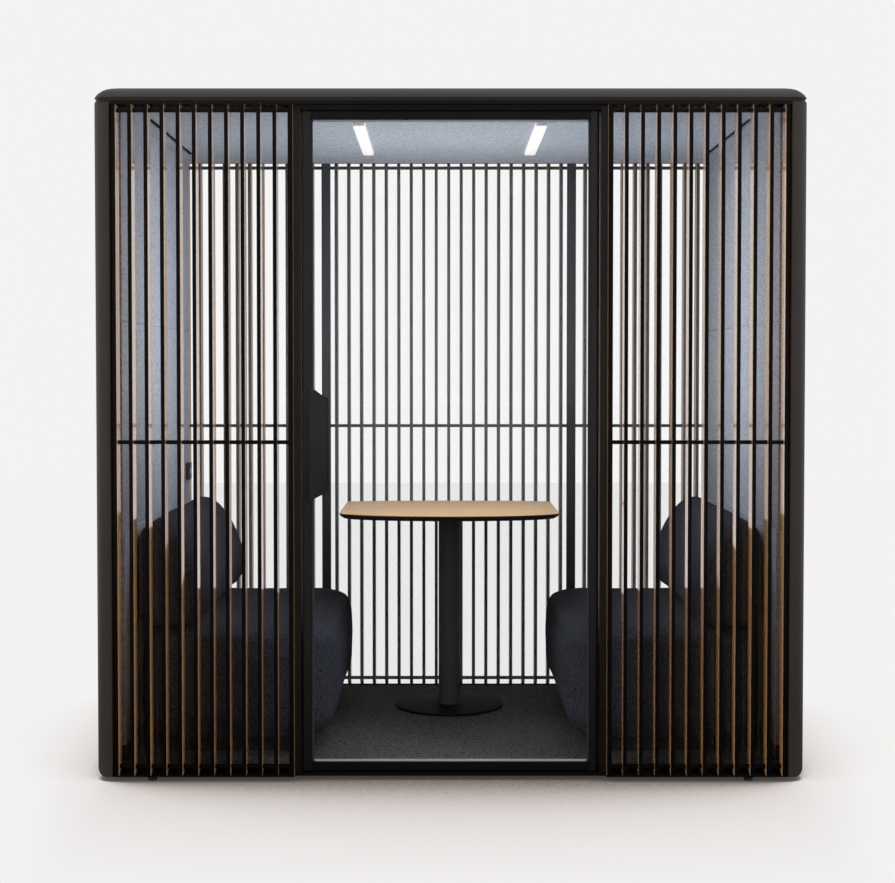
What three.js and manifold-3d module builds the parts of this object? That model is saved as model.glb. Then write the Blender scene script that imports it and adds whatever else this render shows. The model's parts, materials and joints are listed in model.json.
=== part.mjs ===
// Acoustic office pod: a dark rounded shell with a glazed and slatted front and rear, a pivoted glass door,
// two upholstered benches, a pedestal table, and lights and fans in the roof.
// Millimetres, +Z up, front towards -Y, origin on the ground under the middle of the pod.
import * as THREE from "three";
import { mergeVertices } from "three/addons/utils/BufferGeometryUtils.js";
import Module from "manifold-3d";

const wasm = await Module();
wasm.setup();

// Driving dimensions of the shell
const overall = { width: 2200, depth: 1450, height: 2150 };
const fit = 0.3; // gap between pieces that meet
const past = 1; // how far a cutting body reaches past the face it cuts
const wall = { thickness: 52, corner: 42, lowerRadius: 32, clearance: 14 };
const cap = { rise: 37, edge: 63, bulgeOut: 12, bulgeUp: 26, sideRim: 70, frontRim: 77, skin: 10, arris: 4 };
const groove = { depth: 9, above: 10.5, below: 6 };
const floorPanel = { thickness: 8 };
const carpet = { thickness: 5 };
const foot = { radius: 14, pad: 11, edge: 1.5, stem: 5, engagement: 5, inset: 20, fromSide: 173 };
const lining = { thickness: 24, lowerThickness: 30, bottom: 98, split: 771.5, seam: 1428, seamSize: 5 };
const ceiling = { thickness: 12, drop: 17.5 };
const vent = { width: 28, length: 935, corner: 13, fromSide: 124 };

// Lights, fans and light driver in the roof
const lamp = { width: 44, length: 722, corner: 14, height: 30, skin: 2, proud: 11, lens: 18 };
const lampPlace = { x: 300, y: -30 };
const fan = { size: 92, corner: 4, height: 25, bore: 86, cover: 4, strut: 5, tipGap: 1.5 };
const fanHub = { size: 31, foot: 2 };
const blade = { count: 7, rootPitch: 0.9, tipPitch: 0.5, chord: 17, thickness: 1.6, rootIn: 3, steps: 3 };
const outlet = { slots: 5, length: 70, width: 7, pitch: 14 };
const driver = { length: 180, width: 46, height: 22, corner: 3, y: 180 };
const driverTab = { length: 20, height: 5, corner: 6, hole: 2.5 };

// Glazing, slats and door
const glass = { thickness: 10, behindSlats: 10, bite: 6 };
const slat = { width: 12, depth: 55, pitch: 49.4, proud: 8, rearCut: 12, footGap: 0.4, leastGap: 0.7 };
const rod = { size: 12, setback: 22, aboveSill: 21.4, middle: 1053, underHeader: 18 };
const header = { height: 10.5, backLand: 8.5 };
const sill = { height: 10, lip: 3, slope: 27, backLand: 9.7 };
const mullion = { width: 34, centre: 483, proud: 8, bite: 8 };
const door = { half: 460, thickness: 44, gap: 3.5, setback: 25 };
const doorFrame = { stile: 28.5, topRail: 26.5, bottomRail: 30.5 };
const leafArris = 6;
const doorGlass = { thickness: 8, bite: 6 };
const gasket = { width: 6, thickness: 7, corner: 4 };
const doorHead = { drop: 16.5, gap: 1.5 };
const doorFoot = { gap: 1.5 };
const jamb = { face: 20.5, flange: 21, proud: 2, cover: 8, bite: 12 };
const pivot = { radius: 5, play: 0.3, inLeaf: 18, inFrame: 7, inHead: 15, collar: 10, collarHeight: 0.9 };
const handle = { height: 364, centre: 1042, flange: 18, step: 9, reach: 46, stand: 17, splay: 3, plate: 3.5 };
const handleEnd = { fromEdge: 5, slope: 31, corner: 18 };

// Furniture and control
const bench = { depth: 633, wallGap: 14, endGap: 110, corner: 95 };
const plinth = { height: 47.4, inset: 110 };
const seat = { top: 434, crown: 6, belly: 3, cornerGrowth: 0.4 };
const seatUnder = { inset: 68, height: 105 };
const seatOver = { inset: 38, height: 42 };
const back = { foot: 441, crown: 798, depth: 236, wallGap: 0.5, endRound: 75, endInset: 52 };
const backWall = { low: 480, high: 700, upperRound: 60, lowerRound: 17 };
const backCrown = { fromWall: 80, rearRound: 45, frontRound: 60 };
const backBulge = { height: 545, in: 11, rise: 105, fall: 75 };
const backFoot = { front: 86, frontRound: 50, rear: 45, rearRound: 30 };
const table = { width: 790, depth: 673, top: 762, thickness: 18.5, rearGap: 39.5 };
const tableBow = { front: 144, rear: 51 };
const tableEdge = { land: 4, taper: 3, taperHeight: 6, bevel: 16 };
const column = { radius: 39, flange: 115, flangeHeight: 5 };
const tableBase = { radius: 200, thickness: 8, chamfer: 2 };
const control = { width: 80, height: 66, proud: 12, corner: 8, fromGlass: 60, z: 880 };
const button = { radius: 11, play: 0.4, proud: 2.5, travel: 2 };

// Places worked out from the driving dimensions
const halfWidth = overall.width / 2;
const slatFront = -overall.depth / 2;
const slatRear = slatFront + slat.depth;
const shellFront = slatFront + slat.proud;
const wallInner = halfWidth - wall.thickness;
const capTip = overall.height - cap.rise;
const roofJoint = capTip - groove.above;
const shellEdge = roofJoint - groove.below;
const glassFront = slatRear + glass.behindSlats;
const glassRear = glassFront + glass.thickness;
const headerUnder = roofJoint - header.height;
const headerBack = glassRear + header.backLand;
const sillTop = wall.clearance + sill.height;
const sillBack = glassRear + sill.backLand;
const floorTop = wall.clearance + floorPanel.thickness;
const carpetTop = floorTop + fit + carpet.thickness;
const ceilingUnder = roofJoint - ceiling.drop;
const ceilingTop = ceilingUnder + ceiling.thickness;
const ventX = halfWidth - vent.fromSide;
const upperFace = wallInner - lining.thickness;
const lowerFace = wallInner - lining.lowerThickness;
const jambInner = door.half + door.gap;
const jambOuter = jambInner + jamb.face;
const jambFlange = jambOuter + jamb.flange;
const slatFirst = jambOuter + fit + slat.width / 2;
const slatsPerBay = Math.floor((wallInner - fit - slat.width / 2 - slatFirst) / slat.pitch) + 1;
const doorFront = slatFront + door.setback;
const doorBottom = sillTop + doorFoot.gap;
const headUnder = headerUnder - doorHead.drop;
const doorTop = headUnder - doorHead.gap;
const axisX = door.half - door.thickness / 2;
const axisY = doorFront + door.thickness / 2;
const benchBack = lowerFace - bench.wallGap;
const benchFront = benchBack - bench.depth;
const benchHalf = -glassRear - bench.endGap;
const tableY = -glassRear - table.rearGap - table.depth / 2;
const tableBaseTop = carpetTop + fit + tableBase.thickness;
const tableUnder = table.top - table.thickness;
const controlY = -glassRear - control.fromGlass;

// Solids: closed geometry in, joined or cut geometry out
function solidOf(geometry) {
  const bare = geometry.index ? geometry.toNonIndexed() : geometry.clone();
  bare.deleteAttribute("normal");
  bare.deleteAttribute("uv");
  const merged = mergeVertices(bare, 1e-3);
  const corners = merged.index.array;
  const kept = [];
  for (let i = 0; i < corners.length; i += 3) {
    const [a, b, c] = corners.slice(i, i + 3);
    if (a !== b && b !== c && c !== a) kept.push(a, b, c);
  }
  const vertProperties = merged.attributes.position.array;
  return new wasm.Manifold(new wasm.Mesh({ numProp: 3, vertProperties, triVerts: new Uint32Array(kept) }));
}

function geometryOf(solid) {
  const mesh = solid.getMesh();
  const geometry = new THREE.BufferGeometry();
  geometry.setAttribute("position", new THREE.BufferAttribute(mesh.vertProperties, 3));
  geometry.setIndex(new THREE.BufferAttribute(mesh.triVerts, 1));
  const flat = geometry.toNonIndexed();
  flat.computeVertexNormals();
  return flat;
}

function join(...pieces) {
  return geometryOf(pieces.map(solidOf).reduce((whole, piece) => whole.add(piece)));
}

function cut(piece, ...tools) {
  return geometryOf(tools.map(solidOf).reduce((rest, tool) => rest.subtract(tool), solidOf(piece)));
}

function common(first, second) {
  return geometryOf(solidOf(first).intersect(solidOf(second)));
}

// Basic forms
function block(x0, x1, y0, y1, z0, z1) {
  const box = new THREE.BoxGeometry(x1 - x0, y1 - y0, z1 - z0);
  return box.translate((x0 + x1) / 2, (y0 + y1) / 2, (z0 + z1) / 2);
}

function outline(points) {
  return new THREE.Shape(points.map(([u, v]) => new THREE.Vector2(u, v)));
}

function roundedRectangle(halfU, halfV, radius) {
  const shape = new THREE.Shape();
  shape.absarc(halfU - radius, halfV - radius, radius, 0, Math.PI / 2);
  shape.absarc(radius - halfU, halfV - radius, radius, Math.PI / 2, Math.PI);
  shape.absarc(radius - halfU, radius - halfV, radius, Math.PI, 1.5 * Math.PI);
  shape.absarc(halfU - radius, radius - halfV, radius, 1.5 * Math.PI, 2 * Math.PI);
  return shape;
}

// A shape drawn in XY, YZ or XZ and drawn out along the third axis
const across = {
  z: new THREE.Matrix4(),
  x: new THREE.Matrix4().set(0, 0, 1, 0, 1, 0, 0, 0, 0, 1, 0, 0, 0, 0, 0, 1),
  y: new THREE.Matrix4().set(1, 0, 0, 0, 0, 0, -1, 0, 0, 1, 0, 0, 0, 0, 0, 1),
};

function prism(shape, axis, from, to, curveSegments = 6) {
  const body = new THREE.ExtrudeGeometry(shape, { depth: to - from, bevelEnabled: false, curveSegments });
  body.translate(0, 0, axis === "y" ? -to : from);
  return body.applyMatrix4(across[axis]);
}

function turned(profile, segments) {
  const points = profile.map(([radius, height]) => new THREE.Vector2(radius, height));
  return geometryOf(solidOf(new THREE.LatheGeometry(points, segments).rotateX(Math.PI / 2)));
}

function cylinder(radius, x, y, z0, z1, segments = 16) {
  const body = new THREE.CylinderGeometry(radius, radius, z1 - z0, segments).rotateX(Math.PI / 2);
  return body.translate(x, y, (z0 + z1) / 2);
}

// A skin over rings of equally many points, closed by a flat cap at each end
function loft(rings) {
  const count = rings[0].length;
  const last = count * (rings.length - 1);
  const index = [];
  for (let start = 0; start < last; start += count) {
    for (let i = 0; i < count; i++) {
      const a = start + i;
      const b = start + ((i + 1) % count);
      index.push(a, b, b + count, a, b + count, a + count);
    }
  }
  for (let i = 1; i + 1 < count; i++) {
    index.push(0, i + 1, i, last, last + i, last + i + 1);
  }
  const geometry = new THREE.BufferGeometry().setFromPoints(rings.flat());
  return geometry.setIndex(index);
}

function roundedRing(halfX, halfY, radius, z, steps) {
  const centres = [
    [halfX - radius, halfY - radius],
    [radius - halfX, halfY - radius],
    [radius - halfX, radius - halfY],
    [halfX - radius, radius - halfY],
  ];
  return centres.flatMap(([x, y], corner) =>
    Array.from({ length: steps + 1 }, (_, i) => {
      const angle = (corner + i / steps) * (Math.PI / 2);
      return new THREE.Vector3(x + radius * Math.cos(angle), y + radius * Math.sin(angle), z);
    }),
  );
}

// Finishes
function finish(color, roughness, metalness = 0, more = {}) {
  return new THREE.MeshStandardMaterial({ color, roughness, metalness, ...more });
}

const charcoal = finish(0x2d2a28, 0.55);
const roofGrey = finish(0x3a3634, 0.6);
const feltBlue = finish(0x8c929c, 0.95);
const carpetGrey = finish(0x4a4948, 0.98);
const blackMetal = finish(0x1b1a1a, 0.45, 0.5);
const slatWood = finish(0xb58a61, 0.6);
const clearGlass = finish(0xdde6e6, 0.03, 0, { transparent: true, opacity: 0.18 });
const fabric = finish(0x3b3e48, 0.95);
const oak = finish(0xcdab7d, 0.5);
const plywood = finish(0xb18f65, 0.7);
const aluminium = finish(0x9b9d9f, 0.35, 0.9);
const steel = finish(0xa5a6a8, 0.3, 0.95);
const opal = finish(0xffffff, 0.5, 0, { emissive: 0xffffff });
const greyRubber = finish(0x8b8b8d, 0.75);
const blackRubber = finish(0x171717, 0.85);
const blackPlastic = finish(0x202022, 0.55);

function place(group, name, geometry, material) {
  const mesh = new THREE.Mesh(geometry, material);
  mesh.name = name;
  group.add(mesh);
  return mesh;
}

// Shell
function sideWall() {
  const cornerX = halfWidth - wall.corner;
  const cornerY = -shellFront - wall.corner;
  const plan = new THREE.Shape();
  plan.moveTo(wallInner, shellFront);
  plan.lineTo(cornerX, shellFront);
  plan.absarc(cornerX, -cornerY, wall.corner, -Math.PI / 2, 0);
  plan.absarc(cornerX, cornerY, wall.corner, 0, Math.PI / 2);
  plan.lineTo(wallInner, -shellFront);
  const lowerX = halfWidth - wall.lowerRadius;
  const front = new THREE.Shape();
  front.moveTo(wallInner, wall.clearance);
  front.lineTo(lowerX, wall.clearance);
  front.absarc(lowerX, wall.clearance + wall.lowerRadius, wall.lowerRadius, -Math.PI / 2, 0);
  front.lineTo(halfWidth, shellEdge);
  front.lineTo(halfWidth - groove.depth, roofJoint - fit);
  front.lineTo(wallInner, roofJoint - fit);
  const body = common(
    prism(plan, "z", wall.clearance, roofJoint, 8),
    prism(front, "y", shellFront, -shellFront, 6),
  );
  const under = [
    [shellFront - past, shellEdge],
    [shellFront, shellEdge],
    [shellFront + groove.depth, roofJoint - fit],
    [shellFront + groove.depth, roofJoint + past],
    [shellFront - past, roofJoint + past],
  ];
  const notch = prism(outline(under), "x", wallInner - past, halfWidth + past);
  const rearNotch = notch.clone().scale(1, -1, 1);
  rearNotch.setIndex([...Array(rearNotch.attributes.position.count).keys()].reverse());
  return cut(body, notch, rearNotch);
}

function upperLining() {
  const top = ceilingUnder - fit;
  const section = outline([
    [wallInner - fit, lining.split + fit],
    [wallInner - fit, top],
    [upperFace, top],
    [upperFace, lining.seam + lining.seamSize / 2],
    [upperFace + lining.seamSize, lining.seam],
    [upperFace, lining.seam - lining.seamSize / 2],
    [upperFace, lining.split + fit],
  ]);
  return prism(section, "y", glassRear + fit, -glassRear - fit);
}

function lowerLining() {
  return block(lowerFace, wallInner - fit, glassRear + fit, -glassRear - fit, lining.bottom, lining.split);
}

function roofCap() {
  const ring = (inset, z) =>
    roundedRing(halfWidth - inset, -shellFront - inset, Math.max(wall.corner - inset, cap.arris), z, 5);
  const edge = new THREE.QuadraticBezierCurve(
    new THREE.Vector2(0, capTip),
    new THREE.Vector2(cap.bulgeOut, capTip + cap.bulgeUp),
    new THREE.Vector2(cap.edge, overall.height),
  );
  const rings = [ring(groove.depth, roofJoint), ...edge.getPoints(6).map((p) => ring(p.x, p.y))];
  const hollowX = halfWidth - cap.sideRim;
  const hollowY = -shellFront - cap.frontRim;
  const ceilingOfCap = overall.height - cap.skin;
  const hollow = block(-hollowX, hollowX, -hollowY, hollowY, roofJoint - past, ceilingOfCap);
  const slots = [];
  for (const side of [-1, 1]) {
    for (let i = 0; i < outlet.slots; i++) {
      const y = (i - (outlet.slots - 1) / 2) * outlet.pitch;
      const x = side * ventX;
      const reach = outlet.length / 2;
      const half = outlet.width / 2;
      slots.push(block(x - reach, x + reach, y - half, y + half, ceilingOfCap - past, overall.height + past));
    }
  }
  return cut(loft(rings), hollow, ...slots);
}

function ceilingPanel() {
  const halfY = -headerBack - fit;
  const board = block(fit - wallInner, wallInner - fit, -halfY, halfY, ceilingUnder, ceilingTop);
  const openings = [];
  for (const side of [-1, 1]) {
    const lampHole = roundedRectangle(lamp.width / 2 + fit, lamp.length / 2 + fit, lamp.corner + fit);
    const hole = prism(lampHole, "z", ceilingUnder - past, ceilingTop + past, 4);
    openings.push(hole.translate(side * lampPlace.x, lampPlace.y, 0));
    const slot = roundedRectangle(vent.width / 2, vent.length / 2, vent.corner);
    openings.push(prism(slot, "z", ceilingUnder - past, ceilingTop + past, 4).translate(side * ventX, 0, 0));
  }
  return cut(board, ...openings);
}

// Lights, fans and light driver
function lampHousing() {
  const outer = roundedRectangle(lamp.width / 2, lamp.length / 2, lamp.corner);
  const inner = roundedRectangle(
    lamp.width / 2 - lamp.skin,
    lamp.length / 2 - lamp.skin,
    lamp.corner - lamp.skin,
  );
  const top = ceilingUnder + lamp.height;
  const room = prism(inner, "z", ceilingUnder - past, top - lamp.skin, 4);
  return cut(prism(outer, "z", ceilingUnder, top, 4), room);
}

function lampDiffuser() {
  const gap = lamp.skin + fit;
  const shape = roundedRectangle(lamp.width / 2 - gap, lamp.length / 2 - gap, lamp.corner - gap);
  const under = ceilingUnder - lamp.proud;
  return prism(shape, "z", under, under + lamp.lens, 4);
}

function fanHousing() {
  const frame = roundedRectangle(fan.size / 2, fan.size / 2, fan.corner);
  frame.holes.push(new THREE.Path().absarc(0, 0, fan.bore / 2, 0, 2 * Math.PI));
  const coverFrom = fan.height - fan.cover;
  const reach = fan.bore / 2 + past;
  const half = fan.strut / 2;
  return join(
    prism(frame, "z", 0, fan.height, 12),
    cylinder(fanHub.size / 2, 0, 0, coverFrom, fan.height, 20),
    block(-reach, reach, -half, half, coverFrom, fan.height),
    block(-half, half, -reach, reach, coverFrom, fan.height),
  );
}

function fanRotor() {
  const hubTop = fan.height - fan.cover - fit;
  const middle = (hubTop + fanHub.foot) / 2;
  const tip = fan.bore / 2 - fan.tipGap;
  const root = fanHub.size / 2 - blade.rootIn;
  const section = (radius, pitch) =>
    [
      [-1, -1],
      [1, -1],
      [1, 1],
      [-1, 1],
    ].map(([across, along]) => {
      const t = (across * blade.thickness) / 2;
      const c = (along * blade.chord) / 2;
      const y = t * Math.cos(pitch) + c * Math.sin(pitch);
      const z = middle - t * Math.sin(pitch) + c * Math.cos(pitch);
      return new THREE.Vector3(radius, y, z);
    });
  const pieces = [cylinder(fanHub.size / 2, 0, 0, fanHub.foot, hubTop, 20)];
  for (let n = 0; n < blade.count; n++) {
    const rings = Array.from({ length: blade.steps + 1 }, (_, i) => {
      const share = i / blade.steps;
      const pitch = Math.PI / 2 - THREE.MathUtils.lerp(blade.rootPitch, blade.tipPitch, share);
      return section(THREE.MathUtils.lerp(root, tip, share), pitch);
    });
    pieces.push(loft(rings).rotateZ((n * 2 * Math.PI) / blade.count));
  }
  return join(...pieces);
}

function lightDriver() {
  const halfX = driver.length / 2;
  const halfY = driver.width / 2;
  const holeX = halfX + driverTab.length / 2;
  const tabX = halfX + driverTab.length;
  return cut(
    join(
      prism(roundedRectangle(halfX, halfY, driver.corner), "z", 0, driver.height, 2),
      prism(roundedRectangle(tabX, halfY, driverTab.corner), "z", 0, driverTab.height, 3),
    ),
    cylinder(driverTab.hole, holeX, 0, -past, driverTab.height + past, 10),
    cylinder(driverTab.hole, -holeX, 0, -past, driverTab.height + past, 10),
  );
}

// Header, sill, jambs, mullions and glass
function headerBeam() {
  const section = outline([
    [shellFront, headerUnder],
    [shellFront, shellEdge],
    [shellFront + groove.depth, roofJoint - fit],
    [headerBack, roofJoint - fit],
    [headerBack, headerUnder],
    [glassRear + fit, headerUnder],
    [glassRear + fit, headerUnder + glass.bite],
    [glassFront - fit, headerUnder + glass.bite],
    [glassFront - fit, headerUnder],
  ].reverse());
  return prism(section, "x", fit - wallInner, wallInner - fit);
}

function frontHeader() {
  const inner = jambInner - fit;
  const headTop = headerUnder + glass.bite + past;
  const head = block(-inner, inner, doorFront - jamb.proud, headerBack, headUnder, headTop);
  const socket = headUnder + pivot.inHead + fit;
  const pin = cylinder(pivot.radius + pivot.play, axisX, axisY, headUnder - past, socket);
  return cut(join(headerBeam(), head), pin);
}

function sillBeam(grooves) {
  const section = outline([
    [shellFront, wall.clearance],
    [sillBack, wall.clearance],
    [sillBack, sillTop],
    [shellFront + sill.slope, sillTop],
    [shellFront, wall.clearance + sill.lip],
  ]);
  const tools = grooves.map(([x0, x1]) =>
    block(x0, x1, glassFront - fit, glassRear + fit, sillTop - glass.bite, sillTop + past),
  );
  for (const side of [-1, 1]) {
    const x = side * (halfWidth - foot.fromSide);
    const top = wall.clearance + foot.engagement + fit;
    tools.push(cylinder(foot.stem + fit, x, shellFront + foot.inset, wall.clearance - past, top, 12));
  }
  return cut(prism(section, "x", fit - wallInner, wallInner - fit), ...tools);
}

function frontSill() {
  const edge = jambFlange - jamb.bite;
  const beam = sillBeam([
    [-wallInner, -edge],
    [edge, wallInner],
  ]);
  const lipEnd = doorFront - jamb.proud;
  const lip = block(-jambOuter, jambOuter, shellFront - past, lipEnd, wall.clearance - past, sillTop + past);
  const socket = sillTop - pivot.inFrame - fit;
  const pin = cylinder(pivot.radius + pivot.play, axisX, axisY, socket, sillTop + past);
  return cut(beam, lip, pin);
}

function doorJamb() {
  const front = doorFront - jamb.proud;
  const step = glassFront - jamb.cover;
  const section = outline([
    [jambInner, front],
    [jambOuter, front],
    [jambOuter, step],
    [jambFlange, step],
    [jambFlange, glassFront - fit],
    [jambFlange - jamb.bite, glassFront - fit],
    [jambFlange - jamb.bite, glassRear + fit],
    [jambFlange, glassRear + fit],
    [jambFlange, headerBack],
    [jambInner, headerBack],
  ]);
  return prism(section, "z", sillTop + fit, headerUnder - fit);
}

function mullionPost() {
  const half = mullion.width / 2;
  const groove0 = glassFront - fit;
  const groove1 = glassRear + fit;
  const front = glassFront - mullion.proud;
  const section = outline([
    [-half, front],
    [half, front],
    [half, groove0],
    [half - mullion.bite, groove0],
    [half - mullion.bite, groove1],
    [half, groove1],
    [half, headerBack],
    [-half, headerBack],
    [-half, groove1],
    [mullion.bite - half, groove1],
    [mullion.bite - half, groove0],
    [-half, groove0],
  ]);
  return prism(section, "z", sillTop + fit, headerUnder - fit);
}

function pane(x0, x1) {
  const low = sillTop - glass.bite + fit;
  const high = headerUnder + glass.bite - fit;
  return block(x0 + fit, x1 - fit, glassFront, glassRear, low, high);
}

// Slat screens: upright slats threaded on three rods
function slatBlank() {
  const low = wall.clearance + sill.lip + slat.footGap;
  const foot0 = sillTop + slat.footGap;
  const top = headerUnder - fit;
  const section = outline([
    [slatFront, low],
    [shellFront, low],
    [shellFront + sill.slope, foot0],
    [slatRear - slat.rearCut, foot0],
    [slatRear, foot0 + slat.rearCut],
    [slatRear, top - slat.rearCut],
    [slatRear - slat.rearCut, top],
    [slatFront, top],
  ]);
  return prism(section, "x", -slat.width / 2, slat.width / 2);
}

function slatScreen(places, x0, x1) {
  const y = slatFront + rod.setback;
  const half = rod.size / 2;
  const heights = [sillTop + rod.aboveSill, rod.middle, headerUnder - rod.underHeader];
  const rods = heights.map((z) => block(x0, x1, y - half, y + half, z - half, z + half));
  return join(...places.map((x) => slatBlank().translate(x, 0, 0)), ...rods);
}

function bayPlaces() {
  return Array.from({ length: slatsPerBay }, (_, k) => slatFirst + k * slat.pitch);
}

function rearPlaces() {
  const inner = Math.floor((slatFirst - slat.leastGap * slat.pitch) / slat.pitch);
  const middle = Array.from({ length: 2 * inner + 1 }, (_, k) => (k - inner) * slat.pitch);
  return [...bayPlaces().map((x) => -x), ...middle, ...bayPlaces()];
}

// Door, drawn about its pivot axis
const leafHalf = door.thickness / 2;
const leafEdge = -door.half - axisX;
const hingeInner = door.half - doorFrame.stile - axisX;
const handleInner = leafEdge + doorFrame.stile;
const leafGroove = doorGlass.thickness / 2 + fit;

// The leaf seen from its side, its front edge bevelled at the top and at the bottom
function leafSide() {
  return outline([
    [leafArris - leafHalf, doorBottom],
    [leafHalf, doorBottom],
    [leafHalf, doorTop],
    [leafArris - leafHalf, doorTop],
    [-leafHalf, doorTop - leafArris],
    [-leafHalf, doorBottom + leafArris],
  ]);
}

function hingeStile() {
  const section = new THREE.Shape();
  section.moveTo(hingeInner, -leafHalf);
  section.lineTo(0, -leafHalf);
  section.absarc(0, 0, leafHalf, -Math.PI / 2, Math.PI / 2);
  section.lineTo(hingeInner, leafHalf);
  section.lineTo(hingeInner, leafGroove);
  section.lineTo(hingeInner + doorGlass.bite, leafGroove);
  section.lineTo(hingeInner + doorGlass.bite, -leafGroove);
  section.lineTo(hingeInner, -leafGroove);
  const bore = pivot.radius + pivot.play;
  const upright = prism(section, "z", doorBottom, doorTop, 12);
  return cut(
    common(upright, prism(leafSide(), "x", hingeInner - past, leafHalf + past)),
    cylinder(bore, 0, 0, doorBottom - past, doorBottom + pivot.inLeaf + fit),
    cylinder(bore, 0, 0, doorTop - pivot.inLeaf - fit, doorTop + past),
  );
}

function handleStile() {
  const section = outline([
    [leafEdge, leafArris - leafHalf],
    [leafEdge + leafArris, -leafHalf],
    [handleInner, -leafHalf],
    [handleInner, -leafGroove],
    [handleInner - doorGlass.bite, -leafGroove],
    [handleInner - doorGlass.bite, leafGroove],
    [handleInner, leafGroove],
    [handleInner, leafHalf],
    [leafEdge, leafHalf],
  ]);
  const upright = prism(section, "z", doorBottom, doorTop);
  return common(upright, prism(leafSide(), "x", leafEdge - past, handleInner + past));
}

function doorRail(outerZ, innerZ) {
  const outward = Math.sign(outerZ - innerZ);
  const grooveZ = innerZ + outward * doorGlass.bite;
  const section = outline([
    [-leafHalf, outerZ - outward * leafArris],
    [leafArris - leafHalf, outerZ],
    [leafHalf, outerZ],
    [leafHalf, innerZ],
    [leafGroove, innerZ],
    [leafGroove, grooveZ],
    [-leafGroove, grooveZ],
    [-leafGroove, innerZ],
    [-leafHalf, innerZ],
  ]);
  return prism(section, "x", handleInner + fit, hingeInner - fit);
}

function doorPane() {
  const reach = doorGlass.bite - fit;
  const half = doorGlass.thickness / 2;
  return block(
    handleInner - reach,
    hingeInner + reach,
    -half,
    half,
    doorBottom + doorFrame.bottomRail - reach,
    doorTop - doorFrame.topRail + reach,
  );
}

function doorGasket() {
  const halfX = (hingeInner - handleInner) / 2 - fit;
  const halfZ = (doorTop - doorFrame.topRail - doorBottom - doorFrame.bottomRail) / 2 - fit;
  const ring = roundedRectangle(halfX, halfZ, gasket.corner);
  ring.holes.push(roundedRectangle(halfX - gasket.width, halfZ - gasket.width, gasket.corner));
  const rearY = -doorGlass.thickness / 2 - fit;
  const middleX = (hingeInner + handleInner) / 2;
  const middleZ = (doorTop - doorFrame.topRail + doorBottom + doorFrame.bottomRail) / 2;
  return prism(ring, "y", rearY - gasket.thickness, rearY, 3).translate(middleX, 0, middleZ);
}

// A plate bent along a line of points, as a closed outline of even thickness
function bentStrip(points, thickness) {
  const line = points.map(([u, v]) => new THREE.Vector2(u, v));
  const normals = line.slice(1).map((p, i) => {
    const along = p.clone().sub(line[i]).normalize();
    return new THREE.Vector2(-along.y, along.x);
  });
  const side = (sign) =>
    line.map((p, i) => {
      const before = normals[Math.max(i - 1, 0)];
      const after = normals[Math.min(i, normals.length - 1)];
      const mitre = before.clone().add(after).normalize();
      return p.clone().addScaledVector(mitre, (sign * thickness) / 2 / mitre.dot(after));
    });
  return new THREE.Shape([...side(-1), ...side(1).reverse()]);
}

function pullHandle() {
  const x0 = leafEdge + handleEnd.fromEdge;
  const x1 = x0 + handle.flange;
  const x2 = x1 + handle.step;
  const x3 = x2 + handle.reach;
  const y0 = -leafHalf - fit - handle.plate / 2;
  const y1 = y0 - handle.stand;
  const fold = bentStrip(
    [
      [x0, y0],
      [x1, y0],
      [x2, y1],
      [x3, y1 - handle.splay],
    ],
    handle.plate,
  );
  const low = handle.centre - handle.height / 2;
  const high = handle.centre + handle.height / 2;
  const right = x3 + handle.plate;
  const face = new THREE.Shape();
  face.moveTo(x0 - past, low);
  face.lineTo(right - handleEnd.corner, low + handleEnd.slope);
  face.quadraticCurveTo(right, low + handleEnd.slope, right, low + handleEnd.slope + handleEnd.corner);
  face.lineTo(right, high - handleEnd.slope - handleEnd.corner);
  face.quadraticCurveTo(right, high - handleEnd.slope, right - handleEnd.corner, high - handleEnd.slope);
  face.lineTo(x1, high);
  face.lineTo(x0 - past, high);
  const reach = handle.stand + handle.splay + handle.plate + past;
  return common(prism(fold, "z", low, high), prism(face, "y", -leafHalf - reach, -leafHalf, 5));
}

function lowerPivot() {
  const foot0 = sillTop - pivot.inFrame;
  const collarFoot = sillTop + fit;
  const collarTop = collarFoot + pivot.collarHeight;
  const top = doorBottom + pivot.inLeaf;
  return turned(
    [
      [0, foot0],
      [pivot.radius, foot0],
      [pivot.radius, collarFoot],
      [pivot.collar, collarFoot],
      [pivot.collar, collarTop],
      [pivot.radius, collarTop],
      [pivot.radius, top],
      [0, top],
    ],
    16,
  );
}

function upperPivot() {
  const low = doorTop - pivot.inLeaf;
  const high = headUnder + pivot.inHead;
  return turned(
    [
      [0, low],
      [pivot.radius, low],
      [pivot.radius, high],
      [0, high],
    ],
    16,
  );
}

// Furniture
function benchPlinth() {
  const x0 = benchFront + plinth.inset;
  const x1 = benchBack - plinth.inset;
  const halfY = benchHalf - plinth.inset;
  const foot0 = carpetTop + fit;
  return block(x0, x1, -halfY, halfY, foot0, foot0 + plinth.height);
}

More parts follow.
